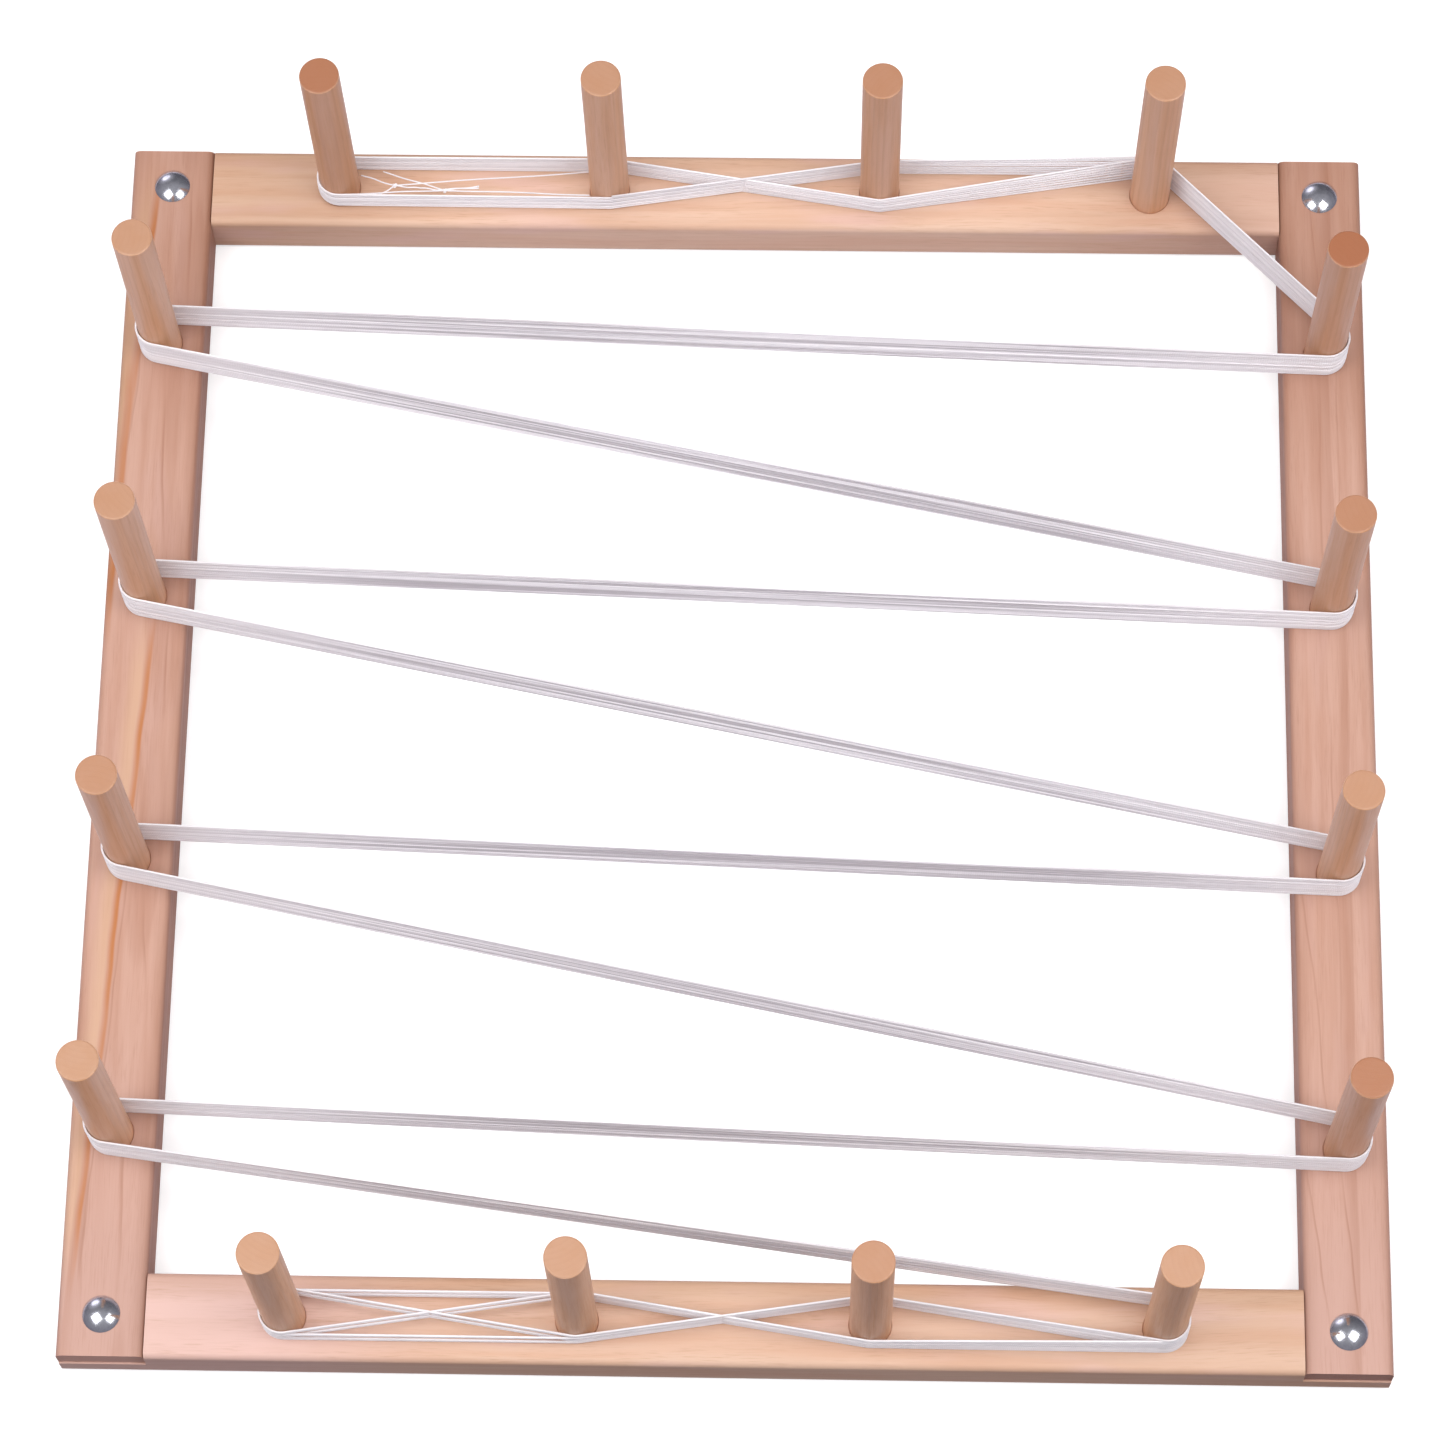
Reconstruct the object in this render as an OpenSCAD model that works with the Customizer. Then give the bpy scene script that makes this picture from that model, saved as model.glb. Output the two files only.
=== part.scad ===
// Warping frame: a bolted wooden frame with sixteen dowel pegs, wound with a warp.
// The origin is the centre of the back face. +Z runs up along the pegs, +Y points to the
// top rail and +X to the right-hand side rail. All sizes are in millimetres.

/* [Frame] */
// Overall width, across the two side rails
frame_w = 720; // [600:1:900]
// Overall length, from the bottom rail to the top rail
frame_l = 724; // [603:1:900]
// Width of each rail
rail_w = 47.5; // [39.5:0.5:60]
// Thickness of each rail
rail_t = 32; // [23:0.5:40]
// Rounding along the long edges of the rails
rail_round = 4; // [1:0.25:6]
// Distance that a side rail's end stands back from the end rail's outer face
end_inset = 0.7; // [0:0.1:2]
// Gap between the faces of the lap joints
lap_gap = 0.1; // [0.05:0.05:0.5]

/* [Pegs] */
// Diameter of each peg
peg_d = 22.8; // [18:0.1:28]
// Height of each peg above the rail
peg_h = 141; // [100:1:180]
// Spacing of the pegs along the top and bottom rails
end_pitch = 158; // [120:1:190]
// Spacing of the pegs along the side rails
side_pitch = 158; // [120:1:190]
// Depth of the blind hole that holds each peg
hole_depth = 20; // [15:0.5:20.5]
// Clearance between a peg and the wall of its hole
peg_clear = 0.08; // [0.02:0.01:0.1]
// Gap under the foot of each peg
foot_gap = 0.4; // [0.3:0.1:1]
// Chamfer round both ends of each peg
peg_chamfer = 0.8; // [0.2:0.1:2]

/* [Corner bolts] */
// Diameter of the bolt's shank
bolt_d = 8; // [6:0.5:10]
// Diameter of the cup head
head_d = 20.6; // [16:0.1:25]
// Height of the cup head
head_h = 4.7; // [3:0.1:6]
// Height of the square neck under the head
neck_h = 4; // [2:0.5:6]
// Clearance of the bolt in the wood
bolt_clear = 0.25; // [0.1:0.05:0.5]
// Clearance round the square neck in its pocket
neck_clear = 0.1; // [0.05:0.05:0.3]
// Outside diameter of the washer
washer_d = 17; // [16:0.5:22]
// Thickness of the washer
washer_t = 1.6; // [1:0.1:2.5]
// Width of the hexagon nut across its flats
nut_af = 13; // [12:0.5:15]
// Thickness of the hexagon nut
nut_t = 6.5; // [4:0.1:7]
// Clearance of the washer and nut on the bolt
thread_clear = 0.06; // [0.02:0.01:0.2]
// Clearance round the washer in its recess
recess_clear = 0.75; // [0.5:0.05:1.5]
// Distance of the nut and the bolt's end inside the back face
nut_inset = 0.5; // [0.2:0.1:1.5]

/* [Warp] */
// Thickness of the warp's yarn
yarn_d = 1.2; // [0.8:0.1:2]
// Gap between the yarn and a peg
yarn_gap = 0.3; // [0.1:0.05:0.6]
// Height of the lowest yarn above the rails
warp_lift = 0.5; // [0.5:0.5:10]
// Height of the band that holds every end
full_band = 25; // [15:1:40]
// Height of the bands that hold half of the ends
half_band = 16; // [10:1:30]
// Height of the thin bands beside the last peg
thin_band = 9; // [5:1:20]

/* [Hidden] */
$fn = 64;
PEG_ROWS = ["top", "bottom", "left", "right"];
PEGS_IN_ROW = 4;

rail_x = (frame_w - rail_w) / 2;
rail_y = (frame_l - rail_w) / 2;
side_len = frame_l - 2 * end_inset;
lap_z = rail_t / 2;
past = 1;

peg_r = peg_d / 2;
hole_r = peg_r + peg_clear;
peg_foot_z = rail_t - hole_depth + foot_gap;
peg_len = hole_depth - foot_gap + peg_h;

// Places of the four pegs of a row, counted from the left or from the top
function row_step(i, pitch) = (i - (PEGS_IN_ROW + 1) / 2) * pitch;
function peg_at(row, i) =
    row == "top" ? [row_step(i, end_pitch), rail_y] :
    row == "bottom" ? [row_step(i, end_pitch), -rail_y] :
    row == "left" ? [-rail_x, -row_step(i, side_pitch)] :
    [rail_x, -row_step(i, side_pitch)];

corners = [for (x = [-rail_x, rail_x], y = [-rail_y, rail_y]) [x, y]];
recess_depth = nut_inset + nut_t + washer_t;
recess_r = washer_d / 2 + recess_clear;
nut_r = nut_af / 2 / cos(30);

warp_z = rail_t + warp_lift;
wrap_r = peg_r + yarn_gap + yarn_d / 2;
arc_step = 10;
left_turn = 1;
right_turn = -1;

// The tie's height and its points, as steps from the first top peg's centre. It lies inside the
// warp's loop and keeps its room from the yarn and the pegs
tie_z = warp_z + half_band / 2;
tie_d = 1;
tie_room = 1.5;
knot_d = 2.4;
tie_reach = peg_r + yarn_gap - tie_room;
tie_corner = [peg_r + tie_room, tie_reach / 2];
tie_foot = [peg_r + 6 * tie_room, tie_room - tie_reach];
tie_near = [end_pitch - peg_r, -tie_reach];
tie_far = [end_pitch - peg_r - 5 * tie_room, tie_reach - tie_room];
tie_knot_a = [32, -2];
tie_knot_b = [62, -6];
tie_tail = [82, -4];

// A stop of the warp's route: the peg's centre and the way the yarn bends round it
function stop(row, i, turn) = [peg_at(row, i), turn];

// Heading of the straight span that touches two stops in turn
function heading(a, b) =
    let (span = b[0] - a[0])
    atan2(span[1], span[0]) - asin((b[1] - a[1]) * wrap_r / norm(span));

// Point where yarn with a given heading touches a stop, with that heading
function touch(s, h) = [s[0] + wrap_r * s[1] * [sin(h), -cos(h)], h];

function full_turn(angle) = angle - 360 * floor(angle / 360);

// Points round one stop, from the heading in to the heading out
function round_stop(s, h_in, h_out) =
    let (sweep = full_turn((h_out - h_in) * s[1]), steps = ceil(sweep / arc_step))
    [for (k = [0:steps]) touch(s, h_in + s[1] * sweep * k / steps)];

// Centre line of a route. Its first and last stops are only touched
function centre_line(route) =
    let (last = len(route) - 1, h = [for (i = [0:last - 1]) heading(route[i], route[i + 1])])
    concat(
        [touch(route[0], h[0])],
        [for (i = [1:1:last - 1]) each round_stop(route[i], h[i - 1], h[i])],
        [touch(route[last], h[last - 1])]
    );

function side_of(p, side) = p[0] + side * yarn_d / 2 * [-sin(p[1]), cos(p[1])];

// A band of yarn seen from above, without so many points at its start and end
module band_outline(route, skip_first, skip_last) {
    line = centre_line(route);
    kept = [for (i = [skip_first:len(line) - 1 - skip_last]) line[i]];
    count = len(kept);
    polygon(concat(
        [for (p = kept) side_of(p, 1)],
        [for (i = [count - 1:-1:0]) side_of(kept[i], -1)]
    ));
}

module band(route, height, skip_first = 0, skip_last = 0)
    translate([0, 0, warp_z])
        linear_extrude(height)
            band_outline(route, skip_first, skip_last);

// Cross-section of a rail, standing on its back face
module rail_section() {
    flat_w = rail_w - 2 * rail_round;
    flat_t = rail_t - 2 * rail_round;
    translate([-flat_w / 2, 0])
        square([flat_w, rail_t]);
    translate([-rail_w / 2, rail_round])
        square([rail_w, flat_t]);
    for (x = [-flat_w / 2, flat_w / 2], y = [rail_round, rail_t - rail_round])
        translate([x, y])
            circle(rail_round);
}

module peg_holes(row)
    for (i = [1:PEGS_IN_ROW])
        translate(concat(peg_at(row, i), rail_t - hole_depth))
            cylinder(h = hole_depth + past, r = hole_r);

// Holes for the corner bolts, with the neck's pocket above and the nut's recess below
module bolt_holes()
    for (c = corners)
        translate([c[0], c[1], 0]) {
            translate([0, 0, -past])
                cylinder(h = rail_t + 2 * past, r = bolt_d / 2 + bolt_clear);
            translate([0, 0, -past])
                cylinder(h = recess_depth + past, r = recess_r);
            translate([0, 0, rail_t - neck_h - neck_clear])
                linear_extrude(neck_h + neck_clear + past)
                    square(bolt_d + 2 * neck_clear, center = true);
        }

// A side rail runs the full length and keeps its upper half over the end rails
module side_rail(side, row)
    color([0.87, 0.69, 0.60])
        difference() {
            translate([side * rail_x, 0, 0])
                rotate([90, 0, 0])
                    linear_extrude(side_len, center = true)
                        rail_section();
            for (end = [-1, 1])
                translate([side * rail_x, end * rail_y, -past])
                    linear_extrude(past + lap_z + lap_gap)
                        square([rail_w + 2 * past, rail_w + 2 * lap_gap], center = true);
            peg_holes(row);
            bolt_holes();
        }

// An end rail fits between the side rails, with a tongue under each of them
module end_rail(side, row)
    color([0.93, 0.79, 0.67])
        difference() {
            translate([0, side * rail_y, 0])
                rotate([90, 0, 90])
                    linear_extrude(frame_w, center = true)
                        rail_section();
            for (end = [-1, 1])
                translate([end * rail_x, side * rail_y, lap_z])
                    linear_extrude(rail_t)
                        square([rail_w + 2 * lap_gap, rail_w + 2 * past], center = true);
            peg_holes(row);
            bolt_holes();
        }

module peg(row, i)
    color([0.80, 0.63, 0.50])
        translate(concat(peg_at(row, i), peg_foot_z))
            rotate_extrude()
                polygon([
                    [0, 0], [peg_r - peg_chamfer, 0], [peg_r, peg_chamfer],
                    [peg_r, peg_len - peg_chamfer], [peg_r - peg_chamfer, peg_len], [0, peg_len]
                ]);

// Cup-head bolts with a square neck that keeps them from turning in the wood
module carriage_bolts() {
    dome_r = (pow(head_d / 2, 2) + pow(head_h, 2)) / (2 * head_h);
    color([0.75, 0.76, 0.80])
        for (c = corners)
            translate([c[0], c[1], rail_t]) {
                intersection() {
                    translate([0, 0, head_h - dome_r])
                        sphere(dome_r);
                    cylinder(h = head_h + past, d = head_d);
                }
                translate([0, 0, -neck_h])
                    linear_extrude(neck_h)
                        square(bolt_d, center = true);
                translate([0, 0, nut_inset - rail_t])
                    cylinder(h = rail_t - nut_inset, d = bolt_d);
            }
}

module washers()
    color([0.70, 0.71, 0.74])
        for (c = corners)
            translate([c[0], c[1], nut_inset + nut_t])
                difference() {
                    cylinder(h = washer_t, d = washer_d);
                    translate([0, 0, -past])
                        cylinder(h = washer_t + 2 * past, r = bolt_d / 2 + thread_clear);
                }

module hex_nuts()
    color([0.70, 0.71, 0.74])
        for (c = corners)
            translate([c[0], c[1], nut_inset])
                difference() {
                    cylinder(h = nut_t, r = nut_r, $fn = 6);
                    translate([0, 0, -past])
                        cylinder(h = nut_t + 2 * past, r = bolt_d / 2 + thread_clear);
                }

// The wound warp: one yarn in bands. Half of it passes each side of the pegs at the crosses
module warp_yarn() {
    top_out = [
        stop("top", 4, left_turn), stop("top", 3, left_turn), stop("top", 2, right_turn),
        stop("top", 1, right_turn), stop("top", 2, right_turn)
    ];
    top_back = [
        stop("top", 1, right_turn), stop("top", 2, right_turn), stop("top", 3, left_turn),
        stop("top", 4, right_turn)
    ];
    zigzag = concat(
        [stop("top", 3, left_turn), stop("top", 4, right_turn)],
        [
            for (i = [1:PEGS_IN_ROW])
                each [stop("right", i, right_turn), stop("left", i, left_turn)]
        ],
        [stop("bottom", 4, right_turn), stop("bottom", 3, right_turn)]
    );
    bottom_out = [
        stop("bottom", 4, right_turn), stop("bottom", 3, right_turn),
        stop("bottom", 2, left_turn), stop("bottom", 1, left_turn), stop("bottom", 2, left_turn)
    ];
    bottom_back = [
        stop("bottom", 1, left_turn), stop("bottom", 2, left_turn),
        stop("bottom", 3, right_turn), stop("bottom", 4, left_turn)
    ];
    last_out = [stop("bottom", 2, left_turn), stop("bottom", 1, right_turn)];
    last_back = [stop("bottom", 1, right_turn), stop("bottom", 2, left_turn)];
    color([0.93, 0.91, 0.93]) {
        band(zigzag, full_band, 1, 1);
        band(top_out, half_band, 0, 1);
        band(top_back, half_band);
        band(bottom_out, half_band, 0, 1);
        band(bottom_back, half_band);
        band(last_out, thin_band);
        band(last_back, thin_band);
    }
}

// Outline of a thin straight stretch between two points
module tie_run(from, to) {
    run = to - from;
    translate(from)
        rotate(atan2(run[1], run[0]))
            translate([0, -tie_d / 2])
                square([norm(run), tie_d]);
}

// The tie that gathers the loop at the first peg: two knots, their runs and a short tail
module tie_yarn() {
    runs = [
        [tie_corner, tie_knot_a], [tie_foot, tie_knot_a], [tie_knot_a, tie_knot_b],
        [tie_foot, tie_knot_b], [tie_knot_b, tie_near], [tie_knot_a, tie_far],
        [tie_knot_b, tie_tail]
    ];
    color([0.95, 0.93, 0.92])
        translate(concat(peg_at("top", 1), tie_z))
            linear_extrude(tie_d) {
                for (r = runs)
                    tie_run(r[0], r[1]);
                for (k = [tie_knot_a, tie_knot_b])
                    translate(k)
                        circle(d = knot_d);
            }
}

side_rail(-1, "left");  // side_rail_left
side_rail(1, "right");  // side_rail_right
end_rail(1, "top");  // end_rail_top
end_rail(-1, "bottom");  // end_rail_bottom
for (row = PEG_ROWS, i = [1:PEGS_IN_ROW])
    peg(row, i);
carriage_bolts();
washers();
hex_nuts();
warp_yarn();
tie_yarn();
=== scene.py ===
# Warping frame: four bolted rails, sixteen dowel pegs and a cotton warp wound round them
import bpy
import bmesh
import math
import numpy as np
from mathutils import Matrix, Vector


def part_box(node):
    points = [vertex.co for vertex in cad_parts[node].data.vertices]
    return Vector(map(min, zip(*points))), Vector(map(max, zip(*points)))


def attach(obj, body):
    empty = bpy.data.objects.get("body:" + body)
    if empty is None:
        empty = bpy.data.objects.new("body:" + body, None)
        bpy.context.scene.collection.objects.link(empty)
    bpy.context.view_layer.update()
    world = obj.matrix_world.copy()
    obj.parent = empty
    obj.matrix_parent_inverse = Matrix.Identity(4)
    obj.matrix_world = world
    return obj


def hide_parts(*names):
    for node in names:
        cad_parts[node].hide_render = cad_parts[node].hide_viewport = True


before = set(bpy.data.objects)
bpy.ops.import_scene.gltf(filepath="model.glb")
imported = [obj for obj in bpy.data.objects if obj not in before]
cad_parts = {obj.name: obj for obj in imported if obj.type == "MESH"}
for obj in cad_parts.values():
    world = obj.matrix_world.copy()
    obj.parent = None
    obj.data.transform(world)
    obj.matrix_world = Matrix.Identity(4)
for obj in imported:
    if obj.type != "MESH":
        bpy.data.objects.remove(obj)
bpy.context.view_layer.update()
mm = 0.001
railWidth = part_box("end_rail_top")[1].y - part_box("end_rail_top")[0].y
print("frame loaded:", len(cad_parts), "nodes")

# The pegs and the yarn draw from one seed, so that every run is the same
rng = np.random.default_rng(27)

# The camera looks down on the frame from in front of the bottom rail
camera = {
    "place": (0.0512, -0.9509, 2.6288),  # metres
    "turn": (0.3535, 0.0156, 0.0183),    # radians about X, Y and Z
    "lens": 122.5,                       # millimetres, on a 36 mm sensor
}
# Two soft boxes stand left and right of the near rail, under a wide, even light. The shines
# show only as reflections, a little further forward. Metres and watts
lights = {
    "left": {"place": (-1.15, -0.45, 1.85), "size": 1.15, "power": 15.0, "mirrored": False},
    "right": {"place": (1.15, -0.45, 1.85), "size": 1.15, "power": 15.0, "mirrored": False},
    "leftShine": {"place": (-1.1, -0.72, 1.85), "size": 1.3, "power": 20.0, "mirrored": True},
    "rightShine": {"place": (1.1, -0.72, 1.85), "size": 1.3, "power": 20.0, "mirrored": True},
    "above": {"place": (0.0, -0.15, 2.6), "spread": 60, "strength": 1.9, "mirrored": False},
}
# The room is brighter overhead than at eye level, and darker behind the far rail. A window
# at the far left shows in the bolt heads. Edges are cosines of the angle from its middle
sky = {
    "low": (0.21, 0.20, 0.24, 1), "high": (0.38, 0.375, 0.40, 1), "behind": 0.5, "behindAt": 0.9,
    "window": (-0.47, 0.80, 0.36), "windowEdge": (0.958, 0.98), "windowGlow": 4.2,
    "haloEdge": (0.84, 0.99), "halo": 1.0,
}
# The white sweep glows a little for the camera, and gives back less light than it shows. It
# gives back least in front of the frame, from front, in metres
floorLook = {
    "size": 40.0, "pale": (0.66, 0.66, 0.66, 1), "worn": (0.645, 0.65, 0.655, 1),
    "cloud": (1.3, 1.3, 1.3), "givenBack": (0.55, 0.52, 0.58, 1), "dull": (0.16, 0.14, 0.16, 1),
    "front": -0.36, "blur": 0.03, "glow": 0.47, "roughness": 0.9,
}


def makeCamera():
    data = bpy.data.cameras.new("camera")
    data.lens = camera["lens"]
    data.sensor_width = 36
    data.clip_start, data.clip_end = 0.05, 60
    shot = bpy.data.objects.new("camera", data)
    shot.location = camera["place"]
    shot.rotation_euler = camera["turn"]
    bpy.context.scene.collection.objects.link(shot)
    bpy.context.scene.camera = shot


def aimAt(place, target):
    # Euler angles that turn a lamp's -Z towards the target
    way = np.array(target) - np.array(place)
    flat = math.hypot(way[0], way[1])
    return (math.atan2(flat, -way[2]), 0, math.atan2(-way[0], way[1]))


def makeLights():
    for name, lamp in lights.items():
        isBox = "size" in lamp
        data = bpy.data.lights.new(name, "AREA" if isBox else "SUN")
        if isBox:
            data.size = lamp["size"]
            data.energy = lamp["power"]
        else:
            data.angle = math.radians(lamp["spread"])
            data.energy = lamp["strength"]
        light = bpy.data.objects.new(name, data)
        light.location = lamp["place"]
        light.rotation_euler = aimAt(lamp["place"], (0, 0, 0))
        light.visible_glossy = lamp["mirrored"]
        light.visible_diffuse = not lamp["mirrored"]
        bpy.context.scene.collection.objects.link(light)


def makeSky():
    world = bpy.data.worlds.new("studio")
    bpy.context.scene.world = world
    world.use_nodes = True
    tree = world.node_tree
    way = addNode(tree, "TexCoord").outputs["Generated"]
    parts = axes(tree, way)
    colour = mixColour(tree, parts["Z"], sky["low"], sky["high"])
    shade = spread(tree, parts["Y"], 0.0, sky["behindAt"], 1.0, sky["behind"])
    facing = onVectors(tree, "DOT_PRODUCT", way, sky["window"])
    for edge, strength in ((sky["windowEdge"], sky["windowGlow"]), (sky["haloEdge"], sky["halo"])):
        shade = calculate(tree, "ADD", shade, spread(tree, facing, *edge, 0.0, strength))
    feed(tree, tree.nodes["Background"], {"Color": colour, "Strength": shade})
    bpy.context.scene.view_settings.view_transform = "Standard"


# Surfaces are arrays: points (n, 3), quads (m, 4) and a UV pair for each point
weldDistance = 2e-6      # metres
crease = math.radians(32)


def gridQuads(rows, columns, wrapRows=False, wrapColumns=False):
    # Quad (i, j) joins the four grid points at rows i, i + 1 and columns j, j + 1
    i = np.arange(rows if wrapRows else rows - 1)
    j = np.arange(columns if wrapColumns else columns - 1)
    i, j = np.meshgrid(i, j, indexing="ij")
    below, right = (i + 1) % rows, (j + 1) % columns
    corners = [i * columns + j, i * columns + right, below * columns + right, below * columns + j]
    return np.stack(corners, axis=-1).reshape(-1, 4)


def roundAngles(count):
    return np.arange(count) * 2 * math.pi / count


def asPoints(x, y, z, place=(0, 0)):
    # A row of three numbers for each point of the grid, moved to its place
    points = np.stack(np.broadcast_arrays(x, y, z), axis=-1).reshape(-1, 3)
    return points + np.array([*place, 0])


def joinSurfaces(surfaces):
    # One surface from many: each one's quads count on from the points before them
    counts = np.cumsum([0] + [len(s[0]) for s in surfaces[:-1]])
    points = np.concatenate([s[0] for s in surfaces])
    quads = np.concatenate([s[1] + first for s, first in zip(surfaces, counts)])
    maps = np.concatenate([s[2] for s in surfaces])
    return points, quads, maps


def meshFrom(name, surface):
    points, quads, maps = surface
    mesh = bpy.data.meshes.new(name)
    mesh.vertices.add(len(points))
    mesh.vertices.foreach_set("co", points.astype(np.float32).ravel())
    mesh.loops.add(quads.size)
    mesh.loops.foreach_set("vertex_index", quads.astype(np.int32).ravel())
    mesh.polygons.add(len(quads))
    mesh.polygons.foreach_set("loop_start", np.arange(0, quads.size, 4, dtype=np.int32))
    uv = mesh.uv_layers.new(name="route")
    uv.data.foreach_set("uv", maps[quads.ravel()].astype(np.float32).ravel())
    mesh.update(calc_edges=True)
    mesh.validate()
    work = bmesh.new()
    work.from_mesh(mesh)
    bmesh.ops.remove_doubles(work, verts=work.verts, dist=weldDistance)
    bmesh.ops.recalc_face_normals(work, faces=work.faces)
    work.to_mesh(mesh)
    work.free()
    return mesh


def placeObject(name, surface):
    piece = bpy.data.objects.new(name, meshFrom(name, surface))
    bpy.context.scene.collection.objects.link(piece)
    return piece


def applyModifiers(piece):
    bpy.context.view_layer.update()
    made = bpy.data.meshes.new_from_object(
        piece.evaluated_get(bpy.context.evaluated_depsgraph_get())
    )
    piece.modifiers.clear()
    piece.data = made


def shadeSmooth(piece):
    # Smooth faces with sharp edges past the crease, and flat faces that stay flat at roundings
    piece.data.shade_smooth()
    piece.data.set_sharp_from_angle(angle=crease)
    weigh = piece.modifiers.new("weigh", "WEIGHTED_NORMAL")
    weigh.keep_sharp = True
    applyModifiers(piece)


def finishPiece(piece, material, body, nodes):
    piece.data.materials.clear()
    piece.data.materials.append(material)
    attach(piece, body)
    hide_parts(*nodes)


def turned(profile, centre, steps):
    # Surface of revolution: each (radius, height) of the profile goes once round the Z axis
    profile = np.array(profile, float)
    angle = roundAngles(steps)
    radius, height = profile[:, :1], profile[:, 1:]
    points = asPoints(centre[0] + radius * np.cos(angle), centre[1] + radius * np.sin(angle),
                      centre[2] + height)
    u, v = np.meshgrid(angle / (2 * math.pi), height[:, 0])
    maps = np.stack([u, v], axis=-1).reshape(-1, 2)
    return points, gridQuads(len(profile), steps, wrapColumns=True), maps


def rounding(centre, radius, start, end, steps):
    # Points of an arc from one angle to another, in degrees
    angle = np.radians(np.linspace(start, end, steps + 1))
    return np.stack(
        [centre[0] + radius * np.cos(angle), centre[1] + radius * np.sin(angle)], axis=-1
    )


# Shader node helpers

def feed(tree, node, inputs):
    # Each input is linked where its value is a socket, and set where it is a plain value
    for name, value in inputs.items():
        if isinstance(value, bpy.types.NodeSocket):
            tree.links.new(value, node.inputs[name])
        else:
            node.inputs[name].default_value = value


def addNode(tree, kind, inputs=None, **settings):
    node = tree.nodes.new("ShaderNode" + kind)
    for name, value in settings.items():
        setattr(node, name, value)
    feed(tree, node, inputs or {})
    return node


def calculate(tree, operation, *values):
    return addNode(tree, "Math", dict(enumerate(values)), operation=operation).outputs[0]


def times(tree, first, *others):
    for other in others:
        first = calculate(tree, "MULTIPLY", first, other)
    return first


def onVectors(tree, operation, first, second):
    node = addNode(tree, "VectorMath", {0: first, 1: second}, operation=operation)
    return node.outputs["Value" if operation == "DOT_PRODUCT" else "Vector"]


def mixColour(tree, share, first, second, blend="MIX"):
    return addNode(tree, "Mix", {0: share, 6: first, 7: second}, data_type="RGBA",
                   blend_type=blend, clamp_factor=True).outputs[2]


def spread(tree, value, low, high, newLow=0.0, newHigh=1.0):
    # A smooth step from newLow at low to newHigh at high
    return addNode(tree, "MapRange", {
        "Value": value, "From Min": low, "From Max": high, "To Min": newLow, "To Max": newHigh,
    }, interpolation_type="SMOOTHSTEP").outputs[0]


def noise(tree, place, stretch, detail=2.0, roughness=0.5, scale=1.0):
    return addNode(tree, "TexNoise", {
        "Vector": onVectors(tree, "MULTIPLY", place, stretch), "Scale": scale, "Detail": detail,
        "Roughness": roughness,
    }).outputs


def noiseAlong(tree, place, detail):
    return addNode(tree, "TexNoise", {"W": place, "Scale": 1.0, "Detail": detail},
                   noise_dimensions="1D").outputs[0]


def axes(tree, vector):
    return addNode(tree, "SeparateXYZ", {0: vector}).outputs


def ownPlace(tree):
    return addNode(tree, "TexCoord").outputs["Object"]


def newGroup(name, inputs):
    # A shader node group: an input with no first value is a vector, and the others are numbers
    group = bpy.data.node_groups.new(name, "ShaderNodeTree")
    for label, value in inputs.items():
        kind = "NodeSocketVector" if value is None else "NodeSocketFloat"
        socket = group.interface.new_socket(label, in_out="INPUT", socket_type=kind)
        if value is not None:
            socket.default_value = value
    return group, group.nodes.new("NodeGroupInput").outputs


def giveOut(group, values):
    # The group puts out a number for each label
    for label in values:
        group.interface.new_socket(label, in_out="OUTPUT", socket_type="NodeSocketFloat")
    feed(group, group.nodes.new("NodeGroupOutput"), values)
    return group


def placeGroup(tree, group, inputs):
    return addNode(tree, "Group", inputs, node_tree=group).outputs


# Noise stretches are in repeats for each millimetre along the grain and across it. lateFull and
# lateStop are shares of a year's growth, and the rises are what each pattern adds to the relief
grainLook = {
    "wander": (0.0045, 0.018, 0.018), "fibre": (0.03, 1.0, 1.0), "tone": (0.006, 0.11, 0.11),
    "fleck": (0.07, 1.5, 1.5), "fleckEdge": (0.52, 0.72), "patch": (0.012, 0.07, 0.07),
    "patchEdge": (0.35, 0.65), "pink": (0.011, 0.05, 0.05), "pinkEdge": (0.5, 0.72),
    "pinkShare": 0.6, "toneEdge": (0.32, 0.7), "fibreEdge": (0.5, 0.8), "fibreShare": 0.2,
    "lateFull": 0.93, "lateStop": 0.955, "palestYear": 0.25, "fibreRise": 0.6, "ringRise": 0.5,
    "fleckRise": -0.8, "cutEdge": (0.55, 0.95),
}


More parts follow.
